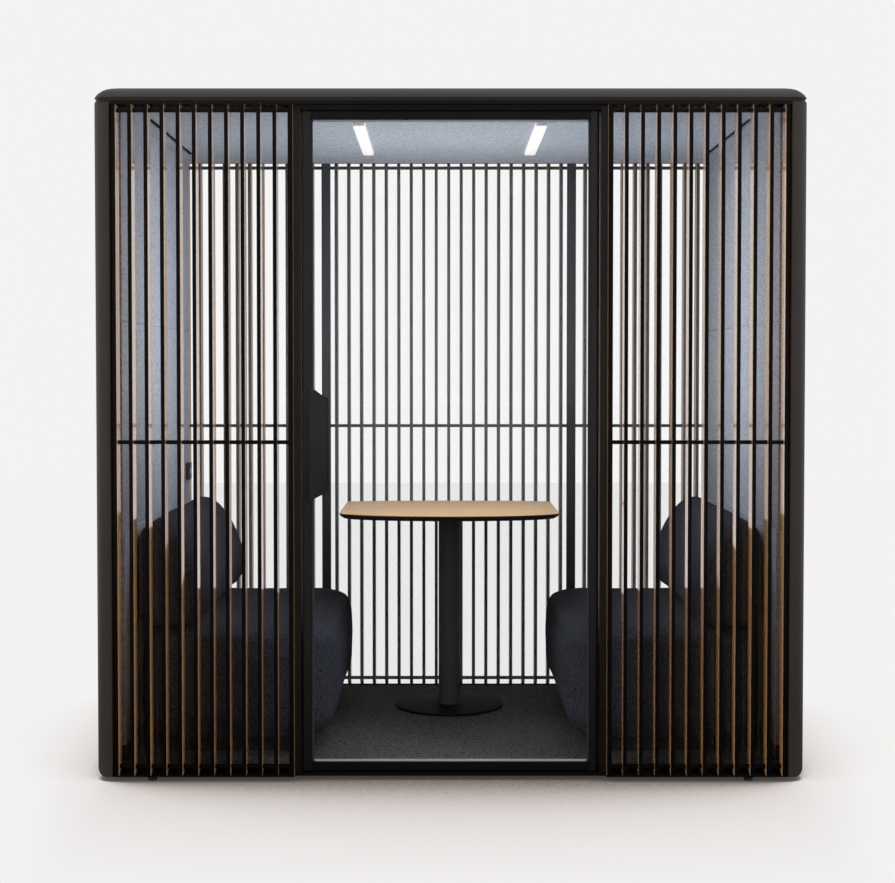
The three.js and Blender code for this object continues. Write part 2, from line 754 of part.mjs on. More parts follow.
function seatCushion() {
  const bottom = carpetTop + 2 * fit + plinth.height;
  const halfX = bench.depth / 2;
  const ring = (inset, z) =>
    roundedRing(halfX - inset, benchHalf - inset, bench.corner + inset * seat.cornerGrowth, z, 5);
  const quarter = [0, 0.25, 0.5, 0.75, 1].map((share) => (share * Math.PI) / 2);
  const under = quarter.map((a) =>
    ring(seatUnder.inset * (1 - Math.sin(a)) + seat.belly, bottom + seatUnder.height * (1 - Math.cos(a))),
  );
  const middle = ring(0, (bottom + seatUnder.height + seat.top - seatOver.height) / 2);
  const over = quarter.map((a) =>
    ring(
      seat.belly + seatOver.inset * (1 - Math.cos(a)),
      seat.top - seatOver.height * (1 - Math.sin(a)),
    ),
  );
  const crown = [0.35, 0.7].map((share) =>
    ring(
      seat.belly + seatOver.inset + share * (halfX - bench.corner - seatOver.inset),
      seat.top + seat.crown * (1 - (1 - share) ** 2),
    ),
  );
  return loft([...under, middle, ...over, ...crown]).translate(benchFront + halfX, 0, 0);
}

function backCushion() {
  const section = new THREE.Shape();
  const crownIn = backCrown.fromWall;
  const bulge = backBulge.height;
  const footIn = back.depth - backFoot.front;
  section.moveTo(0, backWall.low);
  section.lineTo(0, backWall.high);
  const crownRear = crownIn - backCrown.rearRound;
  section.bezierCurveTo(0, backWall.high + backWall.upperRound, crownRear, back.crown, crownIn, back.crown);
  const crownFront = crownIn + backCrown.frontRound;
  const brow = back.depth - backBulge.in;
  section.bezierCurveTo(crownFront, back.crown, brow, bulge + backBulge.rise, back.depth, bulge);
  const sole = footIn + backFoot.frontRound;
  section.bezierCurveTo(back.depth, bulge - backBulge.fall, sole, back.foot, footIn, back.foot);
  section.lineTo(backFoot.rear, back.foot);
  const heel = backFoot.rear - backFoot.rearRound;
  section.bezierCurveTo(heel, back.foot, 0, back.foot + backWall.lowerRound, 0, backWall.low);
  const points = section.getSpacedPoints(26).slice(0, -1);
  const centre = new THREE.Vector2(back.depth / 2, (back.foot + back.crown) / 2);
  const ring = (inset, y) =>
    points.map((p) => {
      const w = centre.x + (p.x - centre.x) * (1 - inset / centre.x);
      const z = centre.y + (p.y - centre.y) * (1 - (2 * inset) / (back.crown - back.foot));
      return new THREE.Vector3(lowerFace - back.wallGap - w, y, z);
    });
  const ends = [0, 0.2, 0.45, 0.7, 1].map((share) => {
    const a = (share * Math.PI) / 2;
    return [back.endInset * (1 - Math.sin(a)), benchHalf - back.endRound * (1 - Math.cos(a))];
  });
  const front = ends.map(([inset, y]) => ring(inset, -y).reverse());
  const rear = [...ends].reverse().map(([inset, y]) => ring(inset, y).reverse());
  return loft([...front, ...rear]);
}

function tableRing(inset, z) {
  const half = table.width / 2 - inset;
  const frontY = tableBow.front - table.depth / 2;
  const rearY = table.depth / 2 - tableBow.rear;
  const arc = (centreY, bow, from, steps) =>
    Array.from({ length: steps + 1 }, (_, i) => {
      const angle = from + (i / steps) * Math.PI;
      const y = centreY + (bow - inset) * Math.sin(angle);
      return new THREE.Vector3(half * Math.cos(angle), y, z);
    });
  return [...arc(rearY, tableBow.rear, 0, 18), ...arc(frontY, tableBow.front, Math.PI, 22)];
}

function tableTop() {
  const edgeFoot = table.top - tableEdge.land;
  return loft([
    tableRing(tableEdge.bevel, tableUnder),
    tableRing(tableEdge.taper, edgeFoot - tableEdge.taperHeight),
    tableRing(0, edgeFoot),
    tableRing(0, table.top),
  ]);
}

function tableColumn() {
  const top = tableUnder - fit;
  const foot0 = tableBaseTop + fit;
  return turned(
    [
      [0, foot0],
      [column.radius, foot0],
      [column.radius, top - column.flangeHeight],
      [column.flange, top - column.flangeHeight],
      [column.flange, top],
      [0, top],
    ],
    32,
  );
}

function tableFoot() {
  const foot0 = carpetTop + fit;
  return turned(
    [
      [0, foot0],
      [tableBase.radius, foot0],
      [tableBase.radius, tableBaseTop - tableBase.chamfer],
      [tableBase.radius - tableBase.chamfer, tableBaseTop],
      [0, tableBaseTop],
    ],
    48,
  );
}

function levellingFoot() {
  const top = wall.clearance + foot.engagement;
  return turned(
    [
      [0, 0],
      [foot.radius - foot.edge, 0],
      [foot.radius, foot.edge],
      [foot.radius, foot.pad - foot.edge],
      [foot.radius - foot.edge, foot.pad],
      [foot.stem, foot.pad],
      [foot.stem, top],
      [0, top],
    ],
    14,
  );
}

function controlPlate() {
  const shape = roundedRectangle(control.width / 2, control.height / 2, control.corner);
  shape.holes.push(new THREE.Path().absarc(0, 0, button.radius + button.play, 0, 2 * Math.PI));
  const plate = prism(shape, "x", upperFace - control.proud, upperFace - fit, 8);
  return plate.translate(0, controlY, control.z);
}

function pushButton() {
  const from = upperFace - control.proud - button.proud;
  const to = upperFace - fit - button.travel - fit;
  const shape = new THREE.Shape().absarc(0, 0, button.radius, 0, 2 * Math.PI);
  return prism(shape, "x", from, to, 12).translate(0, controlY, control.z);
}

// The pod: right-hand pieces are mirrored into the left, and the rear is the front turned half round
const pod = new THREE.Group();
const rear = new THREE.Group();
rear.rotation.z = Math.PI;
const leaf = new THREE.Group();
leaf.position.set(axisX, axisY, 0);
const tableGroup = new THREE.Group();
tableGroup.position.set(0, tableY, 0);
pod.add(rear, leaf, tableGroup);

const floorHalfY = -sillBack - fit;
const floorBox = (z0, z1) => block(fit - wallInner, wallInner - fit, -floorHalfY, floorHalfY, z0, z1);
place(pod, "floor_panel", floorBox(wall.clearance, floorTop), plywood);
place(pod, "carpet", floorBox(floorTop + fit, carpetTop), carpetGrey);
place(pod, "roof_cap", roofCap(), roofGrey);
place(pod, "ceiling_panel", ceilingPanel(), feltBlue);
place(pod, "led_driver", lightDriver(), aluminium).position.set(0, driver.y, ceilingTop + fit);
place(pod, "front_header", frontHeader(), charcoal);
place(pod, "front_sill", frontSill(), charcoal);
place(pod, "door_pivot_top", upperPivot(), steel).position.set(axisX, axisY, 0);
place(pod, "door_pivot_bottom", lowerPivot(), steel).position.set(axisX, axisY, 0);

const panes = jambFlange - jamb.bite;
for (const [side, sign] of [["left", -1], ["right", 1]]) {
  const half = new THREE.Group();
  half.scale.x = sign;
  pod.add(half);
  place(half, `side_wall_${side}`, sideWall(), charcoal);
  place(half, `lining_lower_${side}`, lowerLining(), feltBlue);
  place(half, `lining_upper_${side}`, upperLining(), feltBlue);
  place(half, `lamp_housing_${side}`, lampHousing(), aluminium).position.set(lampPlace.x, lampPlace.y, 0);
  place(half, `lamp_diffuser_${side}`, lampDiffuser(), opal).position.set(lampPlace.x, lampPlace.y, 0);
  place(half, `fan_housing_${side}`, fanHousing(), blackPlastic).position.set(ventX, 0, ceilingTop + fit);
  place(half, `fan_rotor_${side}`, fanRotor(), blackPlastic).position.set(ventX, 0, ceilingTop + fit);
  place(half, `door_jamb_${side}`, doorJamb(), blackMetal);
  place(half, `front_glass_${side}`, pane(panes, wallInner), clearGlass);
  const bay = slatScreen(bayPlaces(), slatFirst, wallInner - fit);
  place(half, `front_slat_screen_${side}`, bay, slatWood);
  place(half, `bench_base_${side}`, benchPlinth(), plywood);
  place(half, `seat_cushion_${side}`, seatCushion(), fabric);
  place(half, `back_cushion_${side}`, backCushion(), fabric);
  const footX = halfWidth - foot.fromSide;
  const footY = shellFront + foot.inset;
  place(half, `levelling_foot_front_${side}`, levellingFoot(), blackRubber).position.set(footX, footY, 0);
  place(half, `levelling_foot_rear_${side}`, levellingFoot(), blackRubber).position.set(footX, -footY, 0);
  const across = new THREE.Group();
  across.scale.x = -sign; // turning the rear half round swaps its sides
  rear.add(across);
  place(across, `rear_mullion_${side}`, mullionPost(), blackMetal).position.x = mullion.centre;
  const mullionEdge = mullion.centre + mullion.width / 2 - mullion.bite;
  place(across, `rear_glass_${side}`, pane(mullionEdge, wallInner), clearGlass);
  if (side === "left") {
    place(half, "control_plate", controlPlate(), blackPlastic);
    place(half, "control_button", pushButton(), aluminium);
  }
}

const middlePane = mullion.centre - mullion.width / 2 + mullion.bite;
place(rear, "rear_header", headerBeam(), charcoal);
place(rear, "rear_sill", sillBeam([[-wallInner, wallInner]]), charcoal);
place(rear, "rear_glass_centre", pane(-middlePane, middlePane), clearGlass);
place(rear, "rear_slat_screen", slatScreen(rearPlaces(), fit - wallInner, wallInner - fit), slatWood);

place(leaf, "door_stile_hinge", hingeStile(), blackMetal);
place(leaf, "door_stile_handle", handleStile(), blackMetal);
place(leaf, "door_rail_top", doorRail(doorTop, doorTop - doorFrame.topRail), blackMetal);
place(leaf, "door_rail_bottom", doorRail(doorBottom, doorBottom + doorFrame.bottomRail), blackMetal);
place(leaf, "door_glass", doorPane(), clearGlass);
place(leaf, "door_gasket", doorGasket(), greyRubber);
place(leaf, "door_handle_outer", pullHandle(), blackMetal);
const inside = new THREE.Group();
inside.scale.y = -1;
leaf.add(inside);
place(inside, "door_handle_inner", pullHandle(), blackMetal);

place(tableGroup, "table_base", tableFoot(), blackMetal);
place(tableGroup, "table_column", tableColumn(), blackMetal);
place(tableGroup, "table_top", tableTop(), oak);

export default pod;
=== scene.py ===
import json
import math
import bpy
from mathutils import Matrix, Vector

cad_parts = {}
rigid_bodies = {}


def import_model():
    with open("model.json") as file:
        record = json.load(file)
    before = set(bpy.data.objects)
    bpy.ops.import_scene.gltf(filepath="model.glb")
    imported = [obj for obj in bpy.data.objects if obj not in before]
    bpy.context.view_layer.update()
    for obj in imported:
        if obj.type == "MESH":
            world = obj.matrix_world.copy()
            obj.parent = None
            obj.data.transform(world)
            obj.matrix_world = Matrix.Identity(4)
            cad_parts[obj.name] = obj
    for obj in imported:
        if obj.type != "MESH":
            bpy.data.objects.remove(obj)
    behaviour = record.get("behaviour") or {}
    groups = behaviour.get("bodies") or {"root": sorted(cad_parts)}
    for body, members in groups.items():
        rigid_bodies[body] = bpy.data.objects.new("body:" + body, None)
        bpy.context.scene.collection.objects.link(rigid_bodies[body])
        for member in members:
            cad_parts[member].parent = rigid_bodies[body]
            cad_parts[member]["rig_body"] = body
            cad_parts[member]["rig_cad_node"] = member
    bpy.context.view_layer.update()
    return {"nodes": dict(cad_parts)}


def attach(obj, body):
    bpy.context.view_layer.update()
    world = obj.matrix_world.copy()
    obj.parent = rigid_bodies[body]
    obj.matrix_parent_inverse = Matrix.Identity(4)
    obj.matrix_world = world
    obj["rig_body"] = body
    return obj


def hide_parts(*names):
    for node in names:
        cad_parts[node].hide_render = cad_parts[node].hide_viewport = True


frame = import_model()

scene = bpy.context.scene
nodes = frame["nodes"]
halfTurn = Matrix.Rotation(math.pi, 4, "Z")


# Small helpers for meshes.
def makeActive(piece):
    if bpy.context.object and bpy.context.object.mode != "OBJECT":
        bpy.ops.object.mode_set(mode="OBJECT")
    bpy.ops.object.select_all(action="DESELECT")
    piece.select_set(True)
    bpy.context.view_layer.objects.active = piece


def mergedCopy(nodeName, pieceName):
    piece = nodes[nodeName].copy()
    piece.data = nodes[nodeName].data.copy()
    piece.name = pieceName
    piece.data.name = pieceName
    piece.parent = None
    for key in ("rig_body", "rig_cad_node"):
        if key in piece:
            del piece[key]
    scene.collection.objects.link(piece)
    makeActive(piece)
    if piece.data.has_custom_normals:
        bpy.ops.mesh.customdata_custom_splitnormals_clear()
    bpy.ops.object.mode_set(mode="EDIT")
    bpy.ops.mesh.select_all(action="SELECT")
    bpy.ops.mesh.remove_doubles(threshold=0.00002)
    bpy.ops.mesh.dissolve_limited(angle_limit=math.radians(0.4))
    bpy.ops.object.mode_set(mode="OBJECT")
    return piece


def roundEdges(piece, width, segments=2, angle=30):
    makeActive(piece)
    bpy.ops.object.modifier_add(type="BEVEL")
    bevel = piece.modifiers[-1]
    bevel.width = width
    bevel.segments = segments
    bevel.limit_method = "ANGLE"
    bevel.angle_limit = math.radians(angle)
    bpy.ops.object.modifier_apply(modifier=bevel.name)


def smoothBelow(piece, angle):
    makeActive(piece)
    bpy.ops.object.shade_smooth_by_angle(angle=math.radians(angle))


def boxPiece(name, low, high):
    bpy.ops.object.select_all(action="DESELECT")
    middle = [(a + b) / 2 for a, b in zip(low, high)]
    size = [b - a for a, b in zip(low, high)]
    bpy.ops.mesh.primitive_cube_add(size=1, location=middle, scale=size)
    piece = bpy.context.object
    piece.name = name
    piece.data.name = name
    bpy.ops.object.transform_apply(location=True, rotation=True, scale=True)
    return piece


def cutAway(piece, point, normal):
    makeActive(piece)
    bpy.ops.object.mode_set(mode="EDIT")
    bpy.ops.mesh.select_all(action="SELECT")
    bpy.ops.mesh.bisect(plane_co=point, plane_no=normal, use_fill=True, clear_outer=True)
    bpy.ops.object.mode_set(mode="OBJECT")


def copiedTo(source, name, matrix):
    piece = source.copy()
    piece.data = source.data.copy()
    piece.name = name
    piece.data.name = name
    piece.data.transform(matrix)
    scene.collection.objects.link(piece)
    return piece


def joined(pieces, name):
    makeActive(pieces[0])
    for piece in pieces:
        piece.select_set(True)
    bpy.ops.object.join()
    pieces[0].name = name
    pieces[0].data.name = name
    return pieces[0]


def paintFaces(piece, finishList, choose):
    piece.data.materials.clear()
    for finish in finishList:
        piece.data.materials.append(finish)
    for face in piece.data.polygons:
        face.material_index = choose(face)


def wear(piece, finish):
    piece.data.materials.clear()
    piece.data.materials.append(finish)


def standIn(piece, body, slot, *nodeNames):
    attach(piece, body)
    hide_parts(*nodeNames)


# Small helpers for finishes.
def addNode(tree, kind, settings=None, sockets=None):
    made = tree.nodes.new(kind)
    for key, value in (settings or {}).items():
        setattr(made, key, value)
    for key, value in (sockets or {}).items():
        made.inputs[key].default_value = value
    return made


def wire(tree, fromNode, output, toNode, socket):
    tree.links.new(fromNode.outputs[output], toNode.inputs[socket])


def sumOf(tree, first, firstOut, second, secondOut, share):
    part = addNode(tree, "ShaderNodeMath", {"operation": "MULTIPLY"}, {1: 1 - share})
    wire(tree, second, secondOut, part, 0)
    total = addNode(tree, "ShaderNodeMath", {"operation": "MULTIPLY_ADD"}, {1: share})
    wire(tree, first, firstOut, total, 0)
    wire(tree, part, 0, total, 2)
    return total


def newGroup(name, inputs, outputs):
    group = bpy.data.node_groups.new(name, "ShaderNodeTree")
    for label, value in inputs.items():
        kind = "NodeSocketVector" if label == "Vector" else "NodeSocketFloat"
        socket = group.interface.new_socket(name=label, in_out="INPUT", socket_type=kind)
        if label != "Vector":
            socket.default_value = value
    for label in outputs:
        group.interface.new_socket(name=label, in_out="OUTPUT", socket_type="NodeSocketFloat")
    return group, group.nodes.new("NodeGroupInput"), group.nodes.new("NodeGroupOutput")


def fibreGroup():
    group, start, end = newGroup("fibreMix", {"Scale": 100.0}, ["Shade", "Height"])
    place = addNode(group, "ShaderNodeTexCoord")
    fine = addNode(group, "ShaderNodeTexNoise", None, {"Detail": 4, "Roughness": 0.65, "Distortion": 0.2})
    broad = addNode(group, "ShaderNodeTexNoise", None, {"Scale": 110, "Detail": 3, "Roughness": 0.6})
    for noise in (fine, broad):
        wire(group, place, "Object", noise, "Vector")
    wire(group, start, "Scale", fine, "Scale")
    total = sumOf(group, fine, 0, broad, 0, 0.55)
    wire(group, total, 0, end, "Shade")
    wire(group, fine, 0, end, "Height")
    return group


def loopGroup():
    group, start, end = newGroup("loopPile", {"Scale": 160.0}, ["Shade", "Height"])
    place = addNode(group, "ShaderNodeTexCoord")
    loops = addNode(group, "ShaderNodeTexVoronoi", {"feature": "SMOOTH_F1"}, {"Smoothness": 0.5})
    yarn = addNode(group, "ShaderNodeTexNoise", None, {"Scale": 420, "Detail": 4, "Roughness": 0.65})
    for texture in (loops, yarn):
        wire(group, place, "Object", texture, "Vector")
    wire(group, start, "Scale", loops, "Scale")
    raised = addNode(group, "ShaderNodeMath", {"operation": "SUBTRACT"}, {0: 1.0})
    wire(group, loops, "Distance", raised, 1)
    total = sumOf(group, raised, 0, yarn, 0, 0.5)
    wire(group, total, 0, end, "Shade")
    wire(group, total, 0, end, "Height")
    return group


def grainGroup():
    group, start, end = newGroup("woodGrain", {"Vector": None, "Scale": 1.0}, ["Shade", "Height"])
    figure = addNode(group, "ShaderNodeTexNoise", None, {"Detail": 3, "Roughness": 0.5, "Distortion": 0.6})
    pores = addNode(group, "ShaderNodeTexNoise", None, {"Detail": 8, "Roughness": 0.75})
    many = addNode(group, "ShaderNodeMath", {"operation": "MULTIPLY"}, {1: 7.0})
    wire(group, start, "Scale", many, 0)
    wire(group, start, "Scale", figure, "Scale")
    wire(group, many, 0, pores, "Scale")
    for noise in (figure, pores):
        wire(group, start, "Vector", noise, "Vector")
    total = sumOf(group, figure, 0, pores, 0, 0.5)
    wire(group, total, 0, end, "Shade")
    wire(group, pores, 0, end, "Height")
    return group


def coatGroup():
    group, start, end = newGroup("paintCoat", {"Scale": 700.0}, ["Shade", "Height"])
    place = addNode(group, "ShaderNodeTexCoord")
    peel = addNode(group, "ShaderNodeTexNoise", None, {"Detail": 2, "Roughness": 0.5})
    cloud = addNode(group, "ShaderNodeTexNoise", None, {"Scale": 5, "Detail": 4, "Roughness": 0.6})
    for noise in (peel, cloud):
        wire(group, place, "Object", noise, "Vector")
    wire(group, start, "Scale", peel, "Scale")
    total = sumOf(group, peel, 0, cloud, 0, 0.4)
    wire(group, total, 0, end, "Shade")
    wire(group, peel, 0, end, "Height")
    return group


groups = {"fibre": fibreGroup(), "loop": loopGroup(), "grain": grainGroup(), "coat": coatGroup()}
print("stage groups", len(groups))


# Painted shade and light by height: the base colour is multiplied by a factor that runs from least at the low height to
# 1 at the high height. Most finishes darken towards the floor, and one grows paler there.
def paintShadeAndLightByHeight(tree, ramp, shader, paintedByHeight):
    low, high, least = paintedByHeight
    place = addNode(tree, "ShaderNodeTexCoord")
    split = addNode(tree, "ShaderNodeSeparateXYZ")
    wire(tree, place, "Object", split, 0)
    share = addNode(tree, "ShaderNodeMapRange", None,
                    {"From Min": low, "From Max": high, "To Min": least, "To Max": 1.0})
    wire(tree, split, "Z", share, 0)
    grey = addNode(tree, "ShaderNodeCombineColor")
    for channel in ("Red", "Green", "Blue"):
        wire(tree, share, 0, grey, channel)
    paintedShadeAndLight = addNode(tree, "ShaderNodeMix", {"data_type": "RGBA", "blend_type": "MULTIPLY"}, {0: 1.0})
    wire(tree, ramp, 0, paintedShadeAndLight, 6)
    wire(tree, grey, 0, paintedShadeAndLight, 7)
    wire(tree, paintedShadeAndLight, 2, shader, "Base Color")


# A finish: a pattern from a group turned into colour, roughness and bump on one shader.
def newFinish(name, values):
    finish = bpy.data.materials.new(name)
    finish.use_nodes = True
    tree = finish.node_tree
    shader = tree.nodes["Principled BSDF"]
    for key, value in values.get("shader", {}).items():
        shader.inputs[key].default_value = value
    pattern = addNode(tree, "ShaderNodeGroup")
    pattern.node_tree = groups[values["pattern"]]
    pattern.inputs["Scale"].default_value = values["scale"]
    if "stretch" in values:
        place = addNode(tree, "ShaderNodeTexCoord")
        mapping = addNode(tree, "ShaderNodeMapping", None, {"Scale": values["stretch"]})
        wire(tree, place, "Object", mapping, "Vector")
        wire(tree, mapping, 0, pattern, "Vector")
    ramp = addNode(tree, "ShaderNodeValToRGB")
    stops = ramp.color_ramp.elements
    stops[0].position, stops[1].position = values.get("span", (0.3, 0.7))
    stops[0].color = (*values["dark"], 1)
    stops[1].color = (*values["light"], 1)
    wire(tree, pattern, "Shade", ramp, 0)
    wire(tree, ramp, 0, shader, "Base Color")
    # painted shade by height; where the low factor is above 1 the same step paints light instead
    if "paintedByHeight" in values:
        paintShadeAndLightByHeight(tree, ramp, shader, values["paintedByHeight"])
    if "glow" in values:
        wire(tree, ramp, 0, shader, "Emission Color")
        shader.inputs["Emission Strength"].default_value = values["glow"]
    low, high = values["rough"]
    rough = addNode(tree, "ShaderNodeMapRange", None, {"From Min": 0.3, "From Max": 0.7, "To Min": low, "To Max": high})
    wire(tree, pattern, "Shade", rough, 0)
    wire(tree, rough, 0, shader, "Roughness")
    if values.get("bump"):
        bump = addNode(tree, "ShaderNodeBump", None, {"Strength": values["bump"], "Distance": values.get("deep", 0.001)})
        wire(tree, pattern, "Height", bump, "Height")
        wire(tree, bump, 0, shader, "Normal")
    return finish


# Painted shade: blackCoat, mattBlack, slatFront and felt are darkened towards the floor by the height ramp.
finishValues = {
    "charcoalPaint": {"pattern": "coat", "scale": 900, "dark": (0.0290, 0.0242, 0.0208), "light": (0.0370, 0.0309, 0.0265),
                      "rough": (0.52, 0.62), "bump": 0.08, "deep": 0.0004, "shader": {"Specular IOR Level": 0.3}},
    "blackCoat": {"pattern": "coat", "scale": 900, "dark": (0.016, 0.0147, 0.0150), "light": (0.022, 0.0203, 0.0207),
                  "rough": (0.42, 0.52), "bump": 0.06, "deep": 0.0003, "paintedByHeight": (0.0, 1.1, 0.3),
                  "shader": {"Specular IOR Level": 0.2}},
    "mattBlack": {"pattern": "coat", "scale": 900, "dark": (0.0075, 0.0074, 0.0075), "light": (0.0115, 0.0113, 0.0114),
                  "rough": (0.58, 0.70), "bump": 0.06, "deep": 0.0003, "paintedByHeight": (0.0, 2.0, 0.4),
                  "shader": {"Specular IOR Level": 0.03}},
    "softBlack": {"pattern": "coat", "scale": 900, "dark": (0.042, 0.044, 0.051), "light": (0.055, 0.057, 0.066),
                  "rough": (0.45, 0.55), "bump": 0.06, "deep": 0.0003, "shader": {"Specular IOR Level": 0.3}},
    "greyBlack": {"pattern": "coat", "scale": 900, "dark": (0.095, 0.095, 0.098), "light": (0.120, 0.120, 0.122),
                  "rough": (0.45, 0.55), "bump": 0.06, "deep": 0.0003, "shader": {"Specular IOR Level": 0.3}},
    # A lit copy of the black slat paint: grey where the slat fronts are black, and paler still towards the floor. This
    # is painted light on the slats' inner faces and on the rear rods.
    "innerSlatPaintedLight": {"pattern": "coat", "scale": 900, "dark": (0.095, 0.094, 0.094), "light": (0.120, 0.119, 0.118),
                  "rough": (0.45, 0.55), "bump": 0.06, "deep": 0.0003, "paintedByHeight": (0.0, 1.3, 2.2),
                  "shader": {"Specular IOR Level": 0.3}},
    "slatFront": {"pattern": "coat", "scale": 700, "dark": (0.004, 0.0035, 0.0034), "light": (0.0065, 0.0058, 0.0056),
                  "rough": (0.55, 0.65), "bump": 0.06, "deep": 0.0003, "paintedByHeight": (0.0, 1.1, 0.3),
                  "shader": {"Specular IOR Level": 0.08}},
    # The next two finishes are lit and shaded copies of one slat wood: the first, for the front slats' sides, is made
    # pale as painted light; the second, for the rear slats' sides, is darker and duller as painted shade.
    "frontSlatSidePaintedLight": {"pattern": "grain", "scale": 3.0, "stretch": (30, 10, 0.35), "dark": (0.58, 0.33, 0.13),
                 "light": (0.92, 0.57, 0.26), "span": (0.38, 0.62), "rough": (0.10, 0.18), "bump": 0.01, "deep": 0.0003,
                 "shader": {"Specular IOR Level": 1.0, "Coat Weight": 1.0, "Coat Roughness": 0.055, "Coat IOR": 2.0}},
    "rearSlatSidePaintedShade": {"pattern": "grain", "scale": 3.0, "stretch": (30, 10, 0.35), "dark": (0.32, 0.19, 0.09),
                 "light": (0.58, 0.36, 0.19), "span": (0.38, 0.62), "rough": (0.4, 0.5), "bump": 0.02, "deep": 0.0003},
    "oakTop": {"pattern": "grain", "scale": 3.0, "stretch": (1.1, 16, 16), "dark": (0.66, 0.395, 0.18),
               "light": (0.90, 0.61, 0.33), "rough": (0.42, 0.55), "bump": 0.10, "deep": 0.0004},
    "blackEdge": {"pattern": "coat", "scale": 800, "dark": (0.020, 0.018, 0.017), "light": (0.032, 0.029, 0.028),
                  "rough": (0.38, 0.48), "bump": 0.05, "deep": 0.0003},
    "felt": {"pattern": "fibre", "scale": 260, "dark": (0.28, 0.325, 0.40), "light": (0.54, 0.60, 0.69),
             "span": (0.42, 0.58), "rough": (0.9, 1.0), "bump": 0.2, "deep": 0.0008, "paintedByHeight": (0.1, 1.0, 0.3),
             "shader": {"Specular IOR Level": 0.2}},
    "carpetPile": {"pattern": "loop", "scale": 150, "dark": (0.020, 0.019, 0.0182), "light": (0.132, 0.124, 0.118),
                   "rough": (0.9, 1.0), "bump": 0.5, "deep": 0.0015, "shader": {"Specular IOR Level": 0.1}},
    "boucle": {"pattern": "loop", "scale": 200, "dark": (0.0115, 0.0125, 0.0165), "light": (0.053, 0.056, 0.072),
               "rough": (0.9, 1.0), "bump": 0.4, "deep": 0.002,
               "shader": {"Specular IOR Level": 0.03, "Sheen Weight": 0.01, "Sheen Roughness": 0.6}},
    "gasketPaintedLight": {"pattern": "coat", "scale": 500, "dark": (0.20, 0.205, 0.21), "light": (0.27, 0.275, 0.28),
                   "rough": (0.35, 0.45), "bump": 0.05},
    "gasketPaintedShade": {"pattern": "coat", "scale": 500, "dark": (0.030, 0.030, 0.031), "light": (0.042, 0.042, 0.043),
                    "rough": (0.45, 0.55), "bump": 0.05},
    "footRubber": {"pattern": "coat", "scale": 600, "dark": (0.012, 0.012, 0.012), "light": (0.024, 0.024, 0.024),
                   "rough": (0.6, 0.75), "bump": 0.1},
    "lampMetal": {"pattern": "coat", "scale": 900, "dark": (0.60, 0.60, 0.61), "light": (0.70, 0.70, 0.71),
                  "rough": (0.35, 0.45), "bump": 0.03, "shader": {"Metallic": 0.6}},
    "lampOpal": {"pattern": "coat", "scale": 300, "dark": (0.80, 0.80, 0.78), "light": (0.85, 0.85, 0.83),
                 "rough": (0.45, 0.55), "glow": 0.5},
    "lampEnd": {"pattern": "coat", "scale": 400, "dark": (0.62, 0.61, 0.61), "light": (0.70, 0.69, 0.69),
                "rough": (0.45, 0.55), "glow": 0.25},
    "fanPlastic": {"pattern": "coat", "scale": 800, "dark": (0.015, 0.015, 0.016), "light": (0.028, 0.028, 0.029),
                   "rough": (0.45, 0.55), "bump": 0.05},
    "brushedSteel": {"pattern": "coat", "scale": 1200, "dark": (0.50, 0.50, 0.51), "light": (0.66, 0.66, 0.67),
                     "rough": (0.26, 0.38), "bump": 0.04, "shader": {"Metallic": 1.0}},
    "plyFloor": {"pattern": "grain", "scale": 3.0, "stretch": (1.0, 14, 14), "dark": (0.36, 0.26, 0.16),
                 "light": (0.52, 0.40, 0.26), "rough": (0.55, 0.7), "bump": 0.1},
    "blackBoard": {"pattern": "coat", "scale": 500, "dark": (0.010, 0.010, 0.011), "light": (0.018, 0.018, 0.019),
                   "rough": (0.55, 0.68), "bump": 0.06},
}
finishes = {name: newFinish(name, values) for name, values in finishValues.items()}


# Clear glass that lets light through to what is behind it.
def glassFinish(name, tint, ior):
    finish = bpy.data.materials.new(name)
    finish.use_nodes = True
    tree = finish.node_tree
    shader = tree.nodes["Principled BSDF"]
    shader.inputs["Transmission Weight"].default_value = 1.0
    shader.inputs["IOR"].default_value = ior
    place = addNode(tree, "ShaderNodeTexCoord")
    haze = addNode(tree, "ShaderNodeTexNoise", None, {"Scale": 2.5, "Detail": 3})
    wire(tree, place, "Object", haze, "Vector")
    ramp = addNode(tree, "ShaderNodeValToRGB")
    ramp.color_ramp.elements[0].color = (*tint, 1)
    ramp.color_ramp.elements[1].color = (1, 1, 1, 1)
    wire(tree, haze, 0, ramp, 0)
    wire(tree, ramp, 0, shader, "Base Color")
    shader.inputs["Roughness"].default_value = 0.0
    ray = addNode(tree, "ShaderNodeLightPath")
    either = addNode(tree, "ShaderNodeMath", {"operation": "MAXIMUM"})
    wire(tree, ray, "Is Shadow Ray", either, 0)
    wire(tree, ray, "Is Diffuse Ray", either, 1)
    clear = addNode(tree, "ShaderNodeBsdfTransparent", None, {"Color": (0.94, 0.95, 0.95, 1)})
    mix = addNode(tree, "ShaderNodeMixShader")
    wire(tree, either, 0, mix, 0)
    wire(tree, shader, 0, mix, 1)
    wire(tree, clear, 0, mix, 2)
    wire(tree, mix, 0, tree.nodes["Material Output"], "Surface")
    return finish


finishes["frontGlass"] = glassFinish("frontGlass", (0.993, 0.997, 0.997), 1.5)
finishes["rearGlass"] = glassFinish("rearGlass", (0.995, 0.998, 0.998), 1.2)
print("stage finishes", len(finishes))


